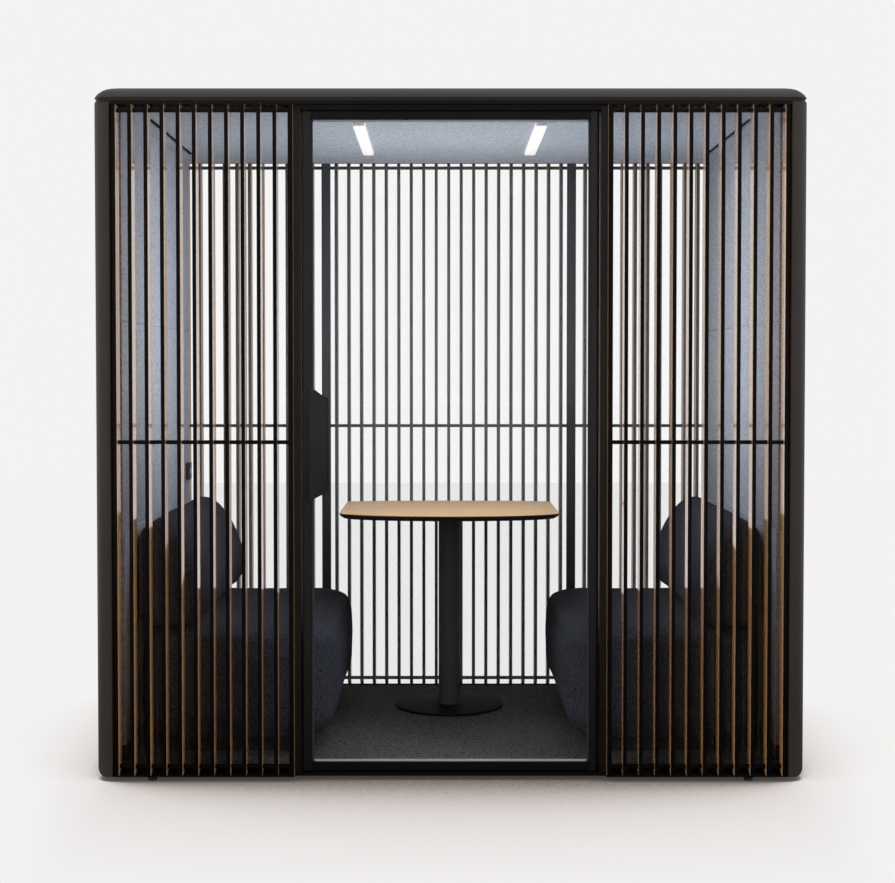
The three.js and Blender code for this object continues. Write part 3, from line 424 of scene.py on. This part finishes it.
# Solids whose edges are broken a little and then smoothed.
softened = {
    "side_wall_left": {"width": 0.0012, "finish": "charcoalPaint", "slot": "shell"},
    "side_wall_right": {"width": 0.0012, "finish": "charcoalPaint", "slot": "shell"},
    "roof_cap": {"width": 0, "finish": "charcoalPaint", "slot": "roof"},
    "front_header": {"width": 0.0008, "finish": "mattBlack", "slot": "shell"},
    "rear_header": {"width": 0.0008, "finish": "blackCoat", "slot": "shell"},
    "front_sill": {"width": 0.0008, "finish": "mattBlack", "slot": "shell"},
    "rear_sill": {"width": 0.0008, "finish": "mattBlack", "slot": "shell"},
    "door_jamb_left": {"width": 0.0009, "finish": "blackCoat", "slot": "black_metal"},
    "door_jamb_right": {"width": 0.0009, "finish": "blackCoat", "slot": "black_metal"},
    "rear_mullion_left": {"width": 0.0009, "finish": "softBlack", "slot": "black_metal"},
    "rear_mullion_right": {"width": 0.0009, "finish": "softBlack", "slot": "black_metal"},
    "door_stile_hinge": {"width": 0.0008, "finish": "blackCoat", "slot": "black_metal"},
    "door_stile_handle": {"width": 0.0008, "finish": "blackCoat", "slot": "black_metal"},
    "door_rail_top": {"width": 0.0008, "finish": "mattBlack", "slot": "black_metal"},
    "door_rail_bottom": {"width": 0.0008, "finish": "mattBlack", "slot": "black_metal"},
    "door_handle_outer": {"width": 0.0012, "finish": "blackCoat", "slot": "black_metal"},
    "door_handle_inner": {"width": 0.0012, "finish": "blackCoat", "slot": "black_metal"},
    "table_column": {"width": 0.0010, "finish": "greyBlack", "slot": "black_metal"},
    "table_base": {"width": 0.0015, "finish": "mattBlack", "slot": "black_metal"},
    "control_plate": {"width": 0.0012, "finish": "fanPlastic", "slot": "dark_plastic"},
    "control_button": {"width": 0.0008, "finish": "brushedSteel", "slot": "button_metal"},
    "lining_upper_left": {"width": 0.0025, "finish": "felt", "slot": "felt"},
    "lining_upper_right": {"width": 0.0025, "finish": "felt", "slot": "felt"},
    "lining_lower_left": {"width": 0.0030, "finish": "felt", "slot": "felt"},
    "lining_lower_right": {"width": 0.0030, "finish": "felt", "slot": "felt"},
    "bench_base_left": {"width": 0.0020, "finish": "blackBoard", "slot": "dark_board"},
    "bench_base_right": {"width": 0.0020, "finish": "blackBoard", "slot": "dark_board"},
}


def buildSoftened():
    for nodeName, values in softened.items():
        body = nodes[nodeName]["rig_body"]
        piece = mergedCopy(nodeName, nodeName + "_soft")
        if values["width"]:
            roundEdges(piece, values["width"])
        smoothBelow(piece, 38)
        wear(piece, finishes[values["finish"]])
        standIn(piece, body, values["slot"], nodeName)


buildSoftened()
print("stage softened", len(softened))


# Solids that keep their own mesh.
keptFinish = {
    "carpet": "carpetPile", "ceiling_panel": "felt", "floor_panel": "plyFloor",
    "door_pivot_top": "brushedSteel", "door_pivot_bottom": "brushedSteel", "led_driver": "lampMetal",
    "lamp_housing_left": "lampMetal", "lamp_housing_right": "lampMetal",
    "fan_housing_left": "fanPlastic", "fan_housing_right": "fanPlastic",
    "fan_rotor_left": "fanPlastic", "fan_rotor_right": "fanPlastic",
    "levelling_foot_front_left": "footRubber", "levelling_foot_front_right": "footRubber",
    "levelling_foot_rear_left": "footRubber", "levelling_foot_rear_right": "footRubber",
    "door_glass": "frontGlass", "front_glass_left": "frontGlass", "front_glass_right": "frontGlass",
    "rear_glass_left": "rearGlass", "rear_glass_centre": "rearGlass", "rear_glass_right": "rearGlass",
}
for nodeName, finishName in keptFinish.items():
    wear(nodes[nodeName], finishes[finishName])
print("stage kept", len(keptFinish))


# Slat screens: one slat cut from a bar, then copied along each bay, and three rods behind it.
slatValues = {
    "front": -0.725, "rear": -0.670, "low": 0.0174, "top": 2.0917, "width": 0.012,
    "footFront": -0.717, "footRise": 0.259, "corner": 0.012, "arris": 0.0007,
    "first": 0.4903, "pitch": 0.0494, "inBay": 12, "middle": 9,
    "rodAt": -0.703, "rodHalf": 0.006, "rodArris": 0.0012, "rodHeights": (0.0454, 1.053, 2.074),
    "rodEnd": 1.0477,
}


def buildSlat(v):
    half = v["width"] / 2
    slat = boxPiece("slat", (-half, v["front"], v["low"]), (half, v["rear"], v["top"]))
    cutAway(slat, (0, v["footFront"], v["low"]), (0, v["footRise"], -1))
    footRear = v["low"] + (v["rear"] - v["corner"] - v["footFront"]) * v["footRise"]
    cutAway(slat, (0, v["rear"] - v["corner"], footRear), (0, 1, -1))
    cutAway(slat, (0, v["rear"] - v["corner"], v["top"]), (0, 1, 1))
    roundEdges(slat, v["arris"], 1, 20)
    paintFaces(slat, [finishes["slatFront"], finishes["frontSlatSidePaintedLight"], finishes["innerSlatPaintedLight"]],
               lambda face: 1 if abs(face.normal.x) > 0.9 else 2 if face.normal.y > 0.5 else 0)
    return slat


def buildScreen(v, slat, screen, places, rodFrom, rodTo, turn, node, sideFinish, rodFinish):
    made = []
    for number, x in enumerate(places):
        made.append(copiedTo(slat, f"{screen}_slat{number}", turn @ Matrix.Translation((x, 0, 0))))
    slats = joined(made, screen + "_slats")
    smoothBelow(slats, 20)
    # the sides take painted light on the front screens and painted shade on the rear screen
    slats.data.materials[1] = finishes[sideFinish]
    standIn(slats, "pod", "slat_wood", node)
    made = []
    for height in v["rodHeights"]:
        rod = boxPiece("rod", (rodFrom, v["rodAt"] - v["rodHalf"], height - v["rodHalf"]),
                       (rodTo, v["rodAt"] + v["rodHalf"], height + v["rodHalf"]))
        roundEdges(rod, v["rodArris"], 2)
        rod.data.transform(turn)
        made.append(rod)
    rods = joined(made, screen + "_rods")
    smoothBelow(rods, 38)
    wear(rods, finishes[rodFinish])
    standIn(rods, "pod", "black_metal", node)


def buildScreens():
    v = slatValues
    slat = buildSlat(v)
    bay = [v["first"] + k * v["pitch"] for k in range(v["inBay"])]
    plain = Matrix.Identity(4)
    buildScreen(v, slat, "front_left", [-x for x in bay], -v["rodEnd"], -v["first"], plain, "front_slat_screen_left",
                "frontSlatSidePaintedLight", "mattBlack")
    buildScreen(v, slat, "front_right", bay, v["first"], v["rodEnd"], plain, "front_slat_screen_right",
                "frontSlatSidePaintedLight", "mattBlack")
    whole = [-x for x in bay] + [k * v["pitch"] for k in range(-v["middle"], v["middle"] + 1)] + bay
    # The rear screen's inner faces and rods wear the painted-light grey copy of the black paint.
    buildScreen(v, slat, "rear", whole, -v["rodEnd"], v["rodEnd"], halfTurn, "rear_slat_screen",
                "rearSlatSidePaintedShade", "innerSlatPaintedLight")
    bpy.data.objects.remove(slat)


buildScreens()
print("stage screens")


# The table top: oak on the flat, black on the worked edge.
tableValues = {"width": 0.0012, "flat": 0.98}


def buildTableTop(v):
    piece = mergedCopy("table_top", "table_top_soft")
    roundEdges(piece, v["width"])
    smoothBelow(piece, 30)
    paintFaces(piece, [finishes["oakTop"], finishes["blackEdge"]],
               lambda face: 0 if face.normal.z > v["flat"] else 1)
    standIn(piece, "pod", "oak", "table_top")


buildTableTop(tableValues)
print("stage table")


# The door's gasket, one rubber, in lit and shaded copies: painted light makes it pale along the rails, and painted
# shade makes it black along the stiles.
gasketValues = {"width": 0.0004, "beside": 0.4245}


def buildGasket(v):
    piece = mergedCopy("door_gasket", "door_gasket_soft")
    roundEdges(piece, v["width"], 1)
    smoothBelow(piece, 30)
    for side in (-1, 1):
        bpy.ops.object.mode_set(mode="EDIT")
        bpy.ops.mesh.select_all(action="SELECT")
        bpy.ops.mesh.bisect(plane_co=(side * v["beside"], 0, 0), plane_no=(1, 0, 0))
        bpy.ops.object.mode_set(mode="OBJECT")
    paintFaces(piece, [finishes["gasketPaintedLight"], finishes["gasketPaintedShade"]],
               lambda face: 1 if abs(face.center.x) > v["beside"] else 0)
    standIn(piece, "door", "gasket_rubber", "door_gasket")


buildGasket(gasketValues)
print("stage gasket")


# Light bars: opal all over, closed by a plain cap at each end.
lampValues = {"width": 0.0015, "end": 0.55}


def buildLamps(v):
    for side in ("left", "right"):
        piece = mergedCopy("lamp_diffuser_" + side, f"lamp_diffuser_{side}_soft")
        roundEdges(piece, v["width"])
        smoothBelow(piece, 30)
        paintFaces(piece, [finishes["lampOpal"], finishes["lampEnd"]],
                   lambda face: 1 if abs(face.normal.y) > v["end"] else 0)
        standIn(piece, "pod", "lamp_opal", "lamp_diffuser_" + side)


buildLamps(lampValues)
print("stage lamps")


# Cushions: the solid a little smaller, blown up by air pressure until the cover is tight.
cushionValues = {
    "seat_cushion": {"shrink": 0.003, "voxel": 0.008, "pressure": 1.6, "limit": 0.006, "fill": 0.7, "held": "z"},
    "back_cushion": {"shrink": 0.003, "voxel": 0.008, "pressure": 1.6, "limit": 0.006, "fill": 0.6, "held": "x"},
}


def blowUp(piece, v):
    makeActive(piece)
    before = [vertex.co.copy() for vertex in piece.data.vertices]
    low = min(c.z for c in before)
    wall = min(c.x for c in before)
    held = piece.vertex_groups.new(name="held")
    if v["held"] == "z":
        held.add([i for i, c in enumerate(before) if c.z < low + 0.012], 1.0, "ADD")
    else:
        held.add([i for i, c in enumerate(before) if c.x < wall + 0.012], 1.0, "ADD")
    bpy.ops.object.modifier_add(type="CLOTH")
    cloth = piece.modifiers[-1]
    settings = cloth.settings
    settings.quality = 5
    settings.mass = 0.3
    settings.tension_stiffness = 30
    settings.compression_stiffness = 30
    settings.shear_stiffness = 15
    settings.bending_stiffness = 1.0
    settings.use_pressure = True
    settings.uniform_pressure_force = v["pressure"]
    settings.effector_weights.gravity = 0
    settings.vertex_group_mass = "held"
    cloth.point_cache.frame_start = 1
    cloth.point_cache.frame_end = 20
    for number in range(1, 21):
        scene.frame_set(number)
    bpy.ops.object.modifier_apply(modifier=cloth.name)
    scene.frame_set(1)
    for vertex, start in zip(piece.data.vertices, before):
        moved = vertex.co - start
        if moved.length > v["limit"]:
            vertex.co = start + moved * (v["limit"] / moved.length)
    piece.vertex_groups.clear()


def buildCushion(kind, v):
    left = mergedCopy(kind + "_left", kind + "_left_soft")
    makeActive(left)
    left.data.remesh_voxel_size = v["voxel"]
    bpy.ops.object.voxel_remesh()
    bpy.ops.object.mode_set(mode="EDIT")
    bpy.ops.mesh.select_all(action="SELECT")
    bpy.ops.mesh.vertices_smooth(factor=0.5, repeat=3)
    bpy.ops.transform.shrink_fatten(value=-v["shrink"])
    bpy.ops.object.mode_set(mode="OBJECT")
    blowUp(left, v)
    bpy.ops.object.shade_smooth()
    wear(left, finishes["boucle"])
    right = copiedTo(left, kind + "_right_soft", Matrix.Scale(-1, 4, (1, 0, 0)))
    makeActive(right)
    bpy.ops.object.mode_set(mode="EDIT")
    bpy.ops.mesh.select_all(action="SELECT")
    bpy.ops.mesh.normals_make_consistent(inside=False)
    bpy.ops.object.mode_set(mode="OBJECT")
    for side, piece in (("left", left), ("right", right)):
        standIn(piece, "pod", "upholstery", f"{kind}_{side}")


for kind, values in cushionValues.items():
    buildCushion(kind, values)
print("stage cushions")


# Floor, light and camera. A ray mirrored on its way counts as mirrored when it leaves a pane again.
def mirroredRay(tree, ray):
    once = addNode(tree, "ShaderNodeMath", {"operation": "MINIMUM"}, {1: 1.0})
    wire(tree, ray, "Glossy Depth", once, 0)
    left = addNode(tree, "ShaderNodeMath", {"operation": "MULTIPLY"})
    wire(tree, once, 0, left, 0)
    wire(tree, ray, "Is Transmission Ray", left, 1)
    back = addNode(tree, "ShaderNodeMath", {"operation": "MULTIPLY"})
    wire(tree, ray, "Is Glossy Ray", back, 0)
    wire(tree, ray, "Is Reflection Ray", back, 1)
    either = addNode(tree, "ShaderNodeMath", {"operation": "MAXIMUM"})
    wire(tree, left, 0, either, 0)
    wire(tree, back, 0, either, 1)
    return either


stageValues = {
    "edge": 12.0, "reach": 60.0, "floor": (0.90, 0.89, 0.885), "shadow": (0.05, 0.045, 0.04), "shadowReach": 1.2,
    "sideFrom": 0.97, "sideTo": 1.45, "sideClear": 0.28,
    "between": ((0.50, (0.14, 0.12, 0.11)), (0.56, (0.42, 0.36, 0.33)), (0.66, (0.71, 0.67, 0.65)),
                (0.80, (0.80, 0.77, 0.76))),
    "bounce": (0.12, 0.116, 0.112), "dim": 0.015, "dimTo": -0.5, "paleFrom": 0.9,
    "white": 0.895, "through": 1.12, "front": 0.75, "back": 1.0, "mirrored": 0.03, "band": 0.12, "bandReach": 0.4,
}


def buildFloor(v):
    bpy.ops.object.select_all(action="DESELECT")
    bpy.ops.mesh.primitive_plane_add(size=v["reach"], location=(0, v["edge"] - v["reach"] / 2, 0))
    bpy.ops.object.transform_apply(location=True, rotation=True, scale=True)
    floor = bpy.context.object
    floor.name = "studioFloor"
    finish = bpy.data.materials.new("studioFloor")
    finish.use_nodes = True
    tree = finish.node_tree
    tree.nodes.remove(tree.nodes["Principled BSDF"])
    dull = addNode(tree, "ShaderNodeBsdfDiffuse", None, {"Color": (*v["bounce"], 1)})
    # The floor seen directly shows a painted shadow: ambient occlusion picks its colour from a ramp, and the shadow is
    # lightened towards the sides.
    near = addNode(tree, "ShaderNodeAmbientOcclusion", {"samples": 16}, {"Distance": v["shadowReach"]})
    shade = addNode(tree, "ShaderNodeValToRGB")
    shade.color_ramp.elements[0].color = (*v["shadow"], 1)
    shade.color_ramp.elements[1].color = (*v["floor"], 1)
    for at, colour in v["between"]:
        shade.color_ramp.elements.new(at).color = (*colour, 1)
    spot = addNode(tree, "ShaderNodeTexCoord")
    parts = addNode(tree, "ShaderNodeSeparateXYZ")
    wire(tree, spot, "Object", parts, 0)
    aside = addNode(tree, "ShaderNodeMath", {"operation": "ABSOLUTE"})
    wire(tree, parts, "X", aside, 0)
    clear = addNode(tree, "ShaderNodeMapRange", {"interpolation_type": "SMOOTHSTEP"},
                    {"From Min": v["sideFrom"], "From Max": v["sideTo"], "To Min": 0.0, "To Max": v["sideClear"]})
    wire(tree, aside, 0, clear, 0)
    opened = addNode(tree, "ShaderNodeMath", {"operation": "ADD", "use_clamp": True})
    wire(tree, near, "AO", opened, 0)
    wire(tree, clear, 0, opened, 1)
    wire(tree, opened, 0, shade, 0)
    pale = addNode(tree, "ShaderNodeEmission")
    wire(tree, shade, 0, pale, "Color")
    white = addNode(tree, "ShaderNodeEmission", None, {"Color": (v["white"], v["white"], v["white"], 1)})
    ray = addNode(tree, "ShaderNodeLightPath")
    place = addNode(tree, "ShaderNodeTexCoord")
    split = addNode(tree, "ShaderNodeSeparateXYZ")
    wire(tree, place, "Object", split, 0)
    behind = addNode(tree, "ShaderNodeMapRange", None,
                     {"From Min": v["dimTo"], "From Max": v["paleFrom"], "To Min": v["dim"], "To Max": v["white"]})
    wire(tree, split, "Y", behind, 0)
    mirrored = addNode(tree, "ShaderNodeEmission", None, {"Color": (1, 1, 1, 1)})
    wire(tree, behind, 0, mirrored, "Strength")
    last = dull
    for source, output, shown in ((ray, "Is Transmission Ray", white), (mirroredRay(tree, ray), 0, mirrored),
                                  (ray, "Is Camera Ray", pale)):
        mix = addNode(tree, "ShaderNodeMixShader")
        wire(tree, source, output, mix, 0)
        wire(tree, last, 0, mix, 1)
        wire(tree, shown, 0, mix, 2)
        last = mix
    wire(tree, last, 0, tree.nodes["Material Output"], "Surface")
    wear(floor, finish)


def buildWorld(v):
    world = bpy.data.worlds.new("studio")
    scene.world = world
    world.use_nodes = True
    tree = world.node_tree
    tree.nodes.clear()
    place = addNode(tree, "ShaderNodeTexCoord")
    split = addNode(tree, "ShaderNodeSeparateXYZ")
    wire(tree, place, "Generated", split, 0)
    level = addNode(tree, "ShaderNodeMapRange", {"interpolation_type": "SMOOTHSTEP"},
                    {"From Min": -0.9, "From Max": 0.5, "To Min": v["front"], "To Max": v["back"]})
    wire(tree, split, "Y", level, 0)
    ray = addNode(tree, "ShaderNodeLightPath")
    shown = addNode(tree, "ShaderNodeMapRange", {"interpolation_type": "SMOOTHSTEP"},
                    {"From Min": -0.75, "From Max": 0.1, "To Min": v["mirrored"], "To Max": v["white"]})
    wire(tree, split, "Y", shown, 0)
    tall = addNode(tree, "ShaderNodeMath", {"operation": "ABSOLUTE"})
    wire(tree, split, "Z", tall, 0)
    band = addNode(tree, "ShaderNodeMapRange", {"interpolation_type": "SMOOTHSTEP"},
                   {"From Min": 0, "From Max": v["bandReach"], "To Min": v["band"], "To Max": 0})
    wire(tree, tall, 0, band, 0)
    gloss = addNode(tree, "ShaderNodeMath", {"operation": "MAXIMUM"})
    wire(tree, shown, 0, gloss, 0)
    wire(tree, band, 0, gloss, 1)
    lit = addNode(tree, "ShaderNodeBackground", None, {"Color": (1, 1, 1, 1)})
    wire(tree, level, 0, lit, "Strength")
    through = addNode(tree, "ShaderNodeBackground", None,
                      {"Color": (1, 1, 1, 1), "Strength": v["through"] * v["white"]})
    mirrored = addNode(tree, "ShaderNodeBackground", None, {"Color": (1, 1, 1, 1)})
    wire(tree, gloss, 0, mirrored, "Strength")
    seen = addNode(tree, "ShaderNodeBackground", None, {"Color": (v["white"], v["white"], v["white"], 1)})
    last = lit
    for source, output, shown in ((ray, "Is Transmission Ray", through), (mirroredRay(tree, ray), 0, mirrored),
                                  (ray, "Is Camera Ray", seen)):
        mix = addNode(tree, "ShaderNodeMixShader")
        wire(tree, source, output, mix, 0)
        wire(tree, last, 0, mix, 1)
        wire(tree, shown, 0, mix, 2)
        last = mix
    wire(tree, last, 0, addNode(tree, "ShaderNodeOutputWorld"), "Surface")


lightValues = {
    "sideSoftLeft": {"at": (-4.5, -1.6, 1.4), "to": (-0.6, 0, 1.0), "size": 2.5, "power": 34},
    "frontSoftLeft": {"at": (-4.2, -4.2, 1.9), "to": (0, -0.7, 1.0), "size": 1.6, "power": 130},
    "frontSoftRight": {"at": (4.2, -4.2, 1.9), "to": (0, -0.7, 1.0), "size": 1.6, "power": 130},
    "ceilingSoft": {"at": (0, -0.45, 0.95), "to": (0, -0.40, 2.0), "size": 0.7, "power": 4.2},
    "doorSoft": {"at": (2.0, -1.7, 6.0), "to": (0, -0.5, 0.2), "size": 0.9, "power": 80},
}
roomValues = {
    "roomGlowMiddle": {"at": (0, 0.0, 1.45), "size": 0.30, "power": 7},
    "roomGlowLeft": {"at": (-0.42, -0.05, 1.40), "size": 0.25, "power": 5},
    "roomGlowRight": {"at": (0.42, -0.05, 1.40), "size": 0.25, "power": 5},
}


def hideLight(light):
    light.visible_camera = False
    light.visible_glossy = False
    light.visible_transmission = False


def buildLights():
    for name, v in lightValues.items():
        bpy.ops.object.select_all(action="DESELECT")
        aim = (Vector(v["to"]) - Vector(v["at"])).to_track_quat("-Z", "Y").to_euler()
        bpy.ops.object.light_add(type="AREA", location=v["at"], rotation=aim)
        light = bpy.context.object
        light.name = name
        light.data.shape = "DISK"
        light.data.size = v["size"]
        light.data.energy = v["power"]
        hideLight(light)
    for name, v in roomValues.items():
        bpy.ops.object.select_all(action="DESELECT")
        bpy.ops.object.light_add(type="POINT", location=v["at"])
        glow = bpy.context.object
        glow.name = name
        glow.data.shadow_soft_size = v["size"]
        glow.data.energy = v["power"]
        hideLight(glow)


cameraValues = {"at": (-0.02615, -5.5693, 1.28235), "tilt": 1.615, "pixels": 895, "focal": 1575.5,
                "middle": (442.1, 412.4)}


def buildCamera(v):
    bpy.ops.object.select_all(action="DESELECT")
    bpy.ops.object.camera_add(location=v["at"], rotation=(math.pi / 2 - math.radians(v["tilt"]), 0, 0))
    camera = bpy.context.object
    camera.name = "photoCamera"
    camera.data.sensor_width = 36
    camera.data.lens = v["focal"] / v["pixels"] * 36
    camera.data.shift_x = (v["pixels"] / 2 - v["middle"][0]) / v["pixels"]
    camera.data.shift_y = (v["middle"][1] - 441.5) / v["pixels"]
    scene.camera = camera


buildFloor(stageValues)
buildWorld(stageValues)
buildLights()
buildCamera(cameraValues)
scene.view_settings.view_transform = "Standard"
print("stage light and camera")
